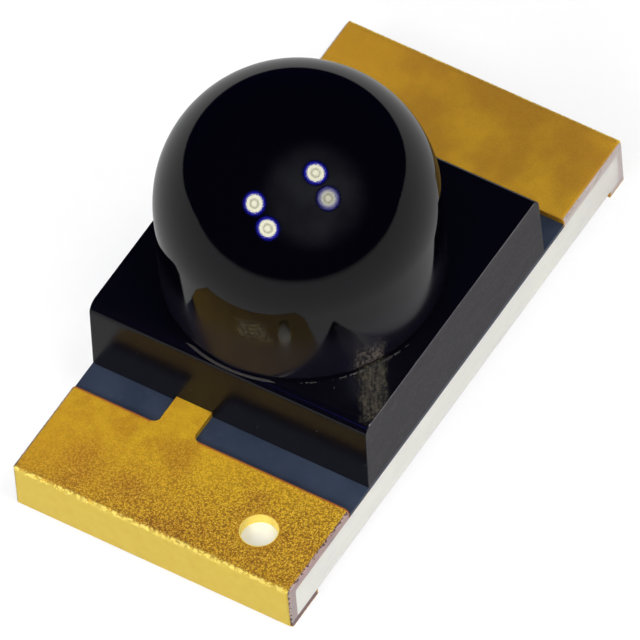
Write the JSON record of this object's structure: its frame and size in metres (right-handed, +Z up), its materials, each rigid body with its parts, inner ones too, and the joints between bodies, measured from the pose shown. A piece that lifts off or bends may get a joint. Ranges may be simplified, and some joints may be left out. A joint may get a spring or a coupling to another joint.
{
  "type": "photodiode",
  "caption": "Surface-mount photodiode: gold-ended white board under a black moulded block with a short barrel and a half-ball lens.",
  "frame": {"origin": "under the middle of the board, at the level of the solder feet's undersides", "axes": "+X along the board from the chip's end with the mark hole to the other end, +Z up through the lens"},
  "size_m": [0.0032, 0.0016, 0.0019],
  "materials": {
    "laminate": "white glass-filled laminate, matt, sawn on its long sides",
    "copper": "bare copper, seen only where the saw cut it",
    "gold_plating": "fine-grained matt gold over nickel",
    "resist": "dark slate-blue resist film, satin",
    "silver_glue": "silver-filled glue",
    "silicon": "polished silicon with a dark blue coated face",
    "chip_contact": "evaporated aluminium",
    "gold_wire": "drawn gold wire",
    "black_epoxy": "black infrared-passing epoxy, glossy as moulded, matt where sawn"
  },
  "bodies": {
    "root": {"laminate_core": "laminate", "near_copper": "copper", "near_plating": "gold_plating", "far_copper": "copper", "far_plating": "gold_plating", "solder_resist": "resist", "die_attach": "silver_glue", "photodiode_die": "silicon", "anode_pad": "chip_contact", "bond_wire": "gold_wire", "encapsulant": "black_epoxy"}
  },
  "joints": []
}
